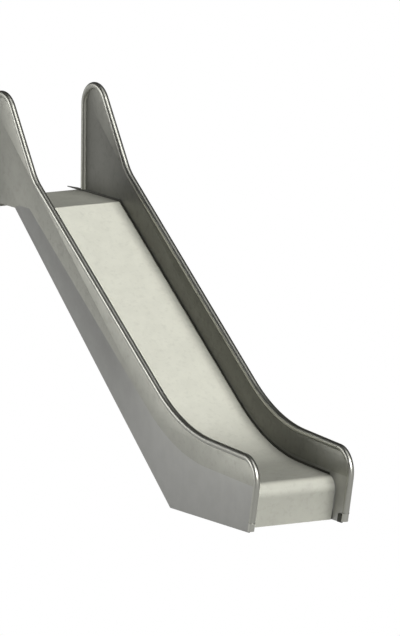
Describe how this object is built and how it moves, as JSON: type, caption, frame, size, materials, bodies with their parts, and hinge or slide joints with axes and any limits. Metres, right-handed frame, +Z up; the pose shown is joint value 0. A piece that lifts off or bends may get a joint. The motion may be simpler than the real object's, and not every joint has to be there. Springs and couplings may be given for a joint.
{
  "type": "embankment slide",
  "caption": "Open stainless steel bank slide with a straight bed, tube-rimmed side cheeks, raised ears at the start deck and a short runout with a rounded exit lip.",
  "frame": {"origin": "middle of the underside of the foot flange behind the front apron, on the ground at the exit", "axes": "+Z up; +Y uphill from the exit to the start deck; +X across the slide, to the right when it is seen from the exit"},
  "size_m": [0.5674, 2.8237, 1.8482],
  "materials": {
    "rolled_sheet": "matt cold-rolled stainless sheet with a faint mottle",
    "skirt_sheet": "matt stainless sheet, duller than the cheeks",
    "polished_tube": "finely ground stainless tube with a clear highlight",
    "welded_strip": "dark unpolished strip along the corner welds",
    "plain_steel": "plain mill-finish stainless flat bar"
  },
  "bodies": {
    "root": {"start_deck": "rolled_sheet", "slope_bed": "rolled_sheet", "exit_curve_bed": "rolled_sheet", "runout_bed": "rolled_sheet", "exit_lip": "rolled_sheet", "front_apron": "rolled_sheet", "foot_flange": "plain_steel", "start_flange": "plain_steel", "deck_rib": "plain_steel", "slope_rib_1": "plain_steel", "slope_rib_2": "plain_steel", "slope_rib_3": "plain_steel", "slope_rib_4": "plain_steel", "runout_rib": "plain_steel", "left_ear_panel": "rolled_sheet", "left_slope_panel": "rolled_sheet", "left_nose_panel": "rolled_sheet", "left_skirt": "skirt_sheet", "left_deck_edge": "welded_strip", "left_slope_edge": "welded_strip", "left_runout_edge": "welded_strip", "left_ear_rim": "polished_tube", "left_slope_rim": "polished_tube", "left_nose_rim": "polished_tube", "left_foot_shoe": "plain_steel", "left_foot_bracket": "plain_steel", "right_ear_panel": "rolled_sheet", "right_slope_panel": "rolled_sheet", "right_nose_panel": "rolled_sheet", "right_skirt": "skirt_sheet", "right_deck_edge": "welded_strip", "right_slope_edge": "welded_strip", "right_runout_edge": "welded_strip", "right_ear_rim": "polished_tube", "right_slope_rim": "polished_tube", "right_nose_rim": "polished_tube", "right_foot_shoe": "plain_steel", "right_foot_bracket": "plain_steel"}
  },
  "joints": []
}
